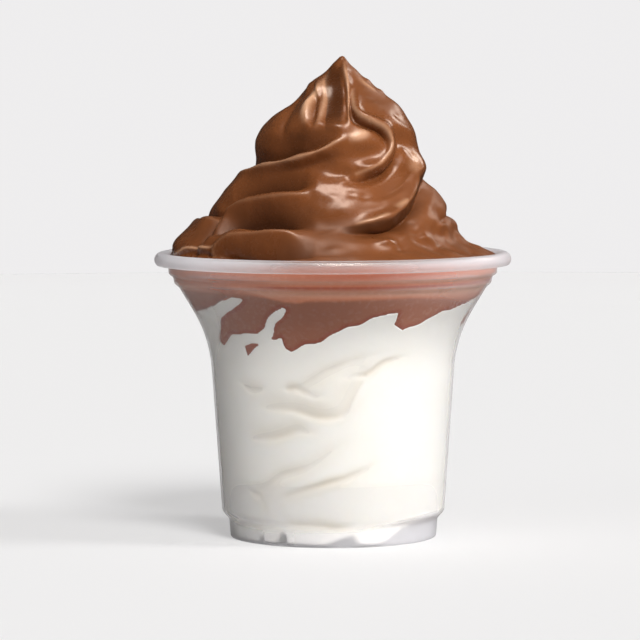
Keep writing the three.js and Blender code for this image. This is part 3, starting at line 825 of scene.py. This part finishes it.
# Folds: angle, height and depth in millimetres, and their widths to the left and right of the way they run
creases = {
    "small crease": ((3, 1.6), [
        (-143, 43.6, 0), (-139, 42.6, 0.2), (-133, 41, 0.5), (-127, 41.3, 0.4), (-123, 42.8, 0)]),
    "pinch": ((2, 1.4), [
        (-114, 41.8, 0.1), (-111, 41.9, 0.9), (-108, 42, 0.8), (-102, 40.6, 0.5), (-98, 40, 0.4),
        (-93, 40.6, 0)]),
    "rising fold": ((1.8, 4.5), [
        (-109, 41.6, 0.2), (-106, 42.7, 0.4), (-100, 44.6, 0.5), (-92, 47.1, 0.5), (-82, 49.4, 0.4),
        (-73, 50.6, 0.2), (-64, 51.6, 0)]),
    "split": ((1.2, 1.4), [
        (-86, 45, 0.1), (-80, 45.3, 0.4), (-75, 45.5, 0.9), (-72, 46.6, 1), (-68, 48.2, 0.9),
        (-64, 49.2, 0.8), (-58, 49.8, 0.3), (-52, 50.4, 0)]),
    "lobe edge": ((0.8, 6), [
        (-75, 45.4, 0.5), (-78, 42.6, 0.6), (-81, 39.5, 0.6), (-84, 36, 0.5), (-89, 33.6, 0.2),
        (-94, 32.4, 0)]),
    "middle fold": ((5, 1.6), [
        (-130, 37, 0), (-121, 36.5, 0.4), (-113, 36.4, 0.6), (-106, 35.8, 0.8), (-100, 34.7, 0.9),
        (-94, 34.3, 0.9), (-87, 34.8, 0.6), (-82, 36, 0.2)]),
    "low lobe": ((4, 1.8), [
        (-137, 27.8, 0), (-131, 28.3, 0.4), (-121, 28.8, 0.7), (-115, 29.6, 0.8), (-108, 31, 0.7),
        (-102, 30.6, 0.3), (-96, 31, 0)]),
    "long fold": ((2.4, 3), [
        (-135, 12.5, 0), (-131, 14.8, 0.3), (-124, 16.7, 0.5), (-117, 19.1, 0.6), (-107, 20.7, 0.6),
        (-102, 21.8, 0.4), (-92, 25.4, 0.3), (-80, 30, 0)]),
    "lower split": ((1.6, 2.2), [
        (-120, 12.4, 0.1), (-114, 13.7, 0.5), (-105, 15.4, 0.7), (-98, 16.5, 0.9), (-93, 17.4, 1),
        (-85, 18.5, 0.8), (-79, 19.8, 0.6), (-74, 20.8, 0.4), (-66, 23, 0)]),
    "short fold": ((1.6, 2), [
        (-139, 14.4, 0.1), (-135, 13.6, 0.5), (-131, 12.8, 0.5), (-129, 10.2, 0.4), (-130, 7, 0)]),
    "foot fold": ((2.6, 1.4), [
        (-118, 6, 0), (-111, 5.7, 0.4), (-99, 5.7, 0.6), (-87, 5.2, 0.5), (-78, 6, 0)]),
    "far left fold": ((3, 2), [
        (-210, 21, 0.2), (-195, 22.6, 0.5), (-180, 24, 0.4), (-168, 25, 0)]),
    "right fold": ((3, 2), [
        (4, 30, 0), (14, 32, 0.4), (25, 34, 0.5), (50, 40, 0.3)]),
    "rear fold": ((4, 1.6), [
        (40, 12, 0.2), (70, 17, 0.7), (100, 24, 0.9), (130, 31, 0.8), (170, 40, 0.4)]),
    "rear low fold": ((3, 1.6), [
        (100, 7, 0.3), (130, 10, 0.7), (160, 15, 0.7), (190, 18, 0.3)]),
    "rear high fold": ((3, 1.8), [
        (0, 44, 0.2), (35, 47, 0.7), (70, 51, 0.8), (100, 53, 0.3)]),
}
# The height that the vanilla's lower edge reaches down to at each angle
lowerEdge = [
    (-180, 2.2), (-172, 1.2), (-163, 0.4), (-156, -0.4), (-150, -0.9), (-142, -0.9), (-138, -0.4),
    (-136.5, 1.9), (-134, 1.7), (-132.5, -0.9), (-129, -0.9), (-125, 0.2), (-122, 2.2), (-119.5, 3.4),
    (-118.2, 2.8), (-117, -0.2), (-115, -0.9), (-104, -0.9), (-97, 0), (-90, 1.3), (-84, 2.3), (-79, 2.7),
    (-76, 0.8), (-72, -0.9), (-66, -0.6), (-60, 0.8), (-54, 2.6), (-49, 3.8), (-42, 4.8), (-35, 5.4),
    (-22, 5.6), (-8, 5.2), (4, 4.2), (14, 2.4), (28, -0.4), (44, 0.6), (60, 3), (66, 0.2), (85, -0.6),
    (104, 2.2), (112, 3.4), (118, 0.2), (140, -0.6), (158, 2), (168, 2.6), (180, 2.2),
]


def makeVanilla():
    # one closed skin: the seam out from the axis, the wall down with its folds, and the ragged foot.
    # a fold's dent is 0.55 x depth x (1 - distance / width)2, and its painted shade reaches half as far again
    s = vanillaShape
    theta, angle = columnAngles(s["columns"], swirl["crowd"])
    low = np.interp(angle, *np.array(lowerEdge).T)
    side, _, high, plain, inside = wallRows(s, angle)
    skin = carried(plain, high, theta)
    points, normals = skin.reshape(-1, 3), gridNormals(skin).reshape(-1, 3)
    dent, foldShade = np.zeros(plain.size), np.zeros(plain.size)
    for widths, line in creases.values():
        p = smoothLine(line, 8)
        on = carried(innerRadius(p[:, 1]), p[:, 1], np.radians(p[:, 0]))
        signed, depth, _ = nearLine(np.hstack([on, p[:, 2:]]), points, normals, s["reach"])
        width = np.where(signed > 0, *widths)
        dent += 0.55 * depth * np.clip(1 - np.abs(signed) / width, 0, 1) ** 2
        foldShade = np.maximum(foldShade, depth * np.clip(1 - np.abs(signed) / (width * 1.5), 0, 1) ** 1.3)
    dent, foldShade = dent.reshape(plain.shape), foldShade.reshape(plain.shape)
    foot = np.clip(1 - (high - low) / s["footRound"], 0, 1)
    shrink = 0.8 * (1 - np.sqrt(np.clip(1 - foot ** 2, 0, 1))) + np.clip(low - high, 0, 9) * 0.9
    wall = carried(plain - np.clip(inside, 0, swirl["deepest"]) - dent - shrink, high, theta)
    wall[..., 2] = np.maximum(high, low)
    seam, sheet = swirl["seam"], swirl["sheet"]
    top = np.array([(r, seam - 0.3) for r in (2, 12, 24)]
                   + [(innerRadius(seam) - sheet - 0.2, seam - 0.6), (side[0, 0] - sheet, side[0, 1])])
    last = wall[-1]
    ring = cupShape["baseWall"] - cupShape["tuck"]
    flat = cupShape["hollow"] + ring
    floor = np.array([*((r, ring) for r in (26.6, 25.6, 22.9)), *((r, flat) for r in (21.7, 18, 12, 5))])
    span = np.linalg.norm(last[:, :2], axis=1)
    reached = np.minimum(floor[:, :1], span - 0.2 * np.arange(1, len(floor) + 1)[:, None])
    lifted = np.maximum(floor[:, 1:], last[:, 2] - np.clip(span - reached - 1, 0, 9) * 0.8)
    grid = np.vstack([carried(top[:, :1], top[:, 1:], theta), wall, carried(reached, lifted, theta)])
    # painted shade of the folds, which the material turns beige
    paintedFoldShade = np.pad(np.clip(foldShade, 0, 1), ((len(top), len(floor)), (0, 0)))
    return meshFromGrid("vanilla_ice_cream_fill", grid, (0, 0, top[0, 1]), (0, 0, flat), {"crease": paintedFoldShade})


def vanillaMaterial():
    # near white, with painted shade in its folds as a beige tint
    c = {"white": (250, 248, 243), "cream": (246, 242, 232), "fold": (226, 216, 196)}
    c = {key: srgb(*value) for key, value in c.items()}
    material, tree = newMaterial("vanilla ice cream")
    place = addNode(tree, "TexCoord").outputs["Object"]
    white = mixColour(tree, noise(tree, place, 22), c["white"], c["cream"])
    # painted shade: beige in the folds
    white = mixColour(tree, doMath(tree, "MULTIPLY", attribute(tree, "crease"), 0.8), white, c["fold"])
    bump = addNode(tree, "Bump", {"Strength": 0.1, "Distance": 0.0005, "Height": noise(tree, place, 3.0)})
    shader = addNode(tree, "BsdfPrincipled", {
        "Base Color": white, "Roughness": 0.5, "Normal": bump.outputs[0],
        "Subsurface Weight": 0.15, "Subsurface Radius": (1.0, 0.8, 0.6), "Subsurface Scale": 0.003})
    endWith(tree, shader)
    return material


vanilla = makeVanilla()
vanilla.data.materials.append(vanillaMaterial())
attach(vanilla, "root")
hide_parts("vanilla_ice_cream")
print("vanilla made")


stage = {"gap": 0.02, "colour": (0.45, 0.447, 0.447, 1), "glow": (1, 0.99, 0.99, 1), "strength": 0.41}


def makeFloor():
    # a flat disc with a rounded edge: points (radius, height) of its section carried round the axis
    section = np.array([(2, 0), (60, 0), (200, 0), (500, 0), (900, 0), (1200, 0), (1222, -1), (1226, -5),
                        (1226, -30), (900, -30), (200, -30), (2, -30)], float)
    section[:, 1] -= stage["gap"]
    theta = np.linspace(0, 2 * np.pi, 128, endpoint=False)
    return meshFromGrid("pale_floor", carried(section[:, :1], section[:, 1:], theta),
                        (0, 0, section[0, 1]), (0, 0, section[-1, 1]), {})


floor = makeFloor()
material, tree = newMaterial("pale floor")
looked = addNode(tree, "LightPath").outputs["Is Camera Ray"]
shader = addNode(tree, "BsdfPrincipled", {
    "Base Color": stage["colour"], "Roughness": 0.8, "Specular IOR Level": 0.1,
    "Emission Color": stage["glow"],
    "Emission Strength": doMath(tree, "MULTIPLY", looked, stage["strength"])})
endWith(tree, shader)
floor.data.materials.append(material)
floor.visible_glossy = False

# Each lamp is turned from the front towards the right and raised, and spreads over an angle
light = {
    "key": {"turnDeg": 20, "upDeg": 42, "spreadDeg": 22, "power": 2.75},
    "side": {"turnDeg": 76, "upDeg": 32, "spreadDeg": 16, "power": 1.5},
    "overhead": {"turnDeg": 12, "upDeg": 71, "spreadDeg": 26, "power": 3.4, "colour": (1, 0.88, 0.77)},
    "overhead right": {"turnDeg": 55, "upDeg": 62, "spreadDeg": 30, "power": 0.75,
                       "colour": (1, 0.88, 0.77)},
    "rear": {"turnDeg": 140, "upDeg": 29, "spreadDeg": 14, "power": 0.45, "colour": (1, 0.87, 0.76)},
    "fill": {"turnDeg": -48, "upDeg": 26, "spreadDeg": 30, "power": 0.22},
    "sky": 0.15, "backdrop": (0.86, 0.85, 0.855, 1), "mirrored": (0.05, 0.042, 0.036, 1),
}
world = bpy.data.worlds.new("studio")
bpy.context.scene.world = world
world.use_nodes = True
tree = world.node_tree
seen = addNode(tree, "LightPath").outputs["Is Camera Ray"]
mirrored = addNode(tree, "LightPath").outputs["Is Glossy Ray"]
colour = mixColour(tree, mirrored, (light["sky"], light["sky"], light["sky"], 1), light["mirrored"])
colour = mixColour(tree, seen, colour, light["backdrop"])
tree.links.new(colour, tree.nodes["Background"].inputs["Color"])
bpy.context.scene.view_settings.view_transform = "Standard"


def addLamp(name, lights, mirrors):
    # a distant lamp that lights matt surfaces, shows in shiny ones, or both
    c = light[name]
    lamp = bpy.data.lights.new(name, "SUN")
    lamp.angle, lamp.energy = math.radians(c["spreadDeg"]), c["power"]
    lamp.color = c.get("colour", (1, 1, 1))
    holder = inScene(name, lamp)
    holder.rotation_euler = (math.radians(90 - c["upDeg"]), 0, math.radians(c["turnDeg"]))
    holder.location = (0.5, -0.6, 0.6)
    holder.visible_diffuse, holder.visible_glossy = lights, mirrors


for name in ("key", "side", "fill"):
    addLamp(name, True, False)
for name in ("overhead", "overhead right", "rear"):
    addLamp(name, False, True)
print("stage and lights placed")
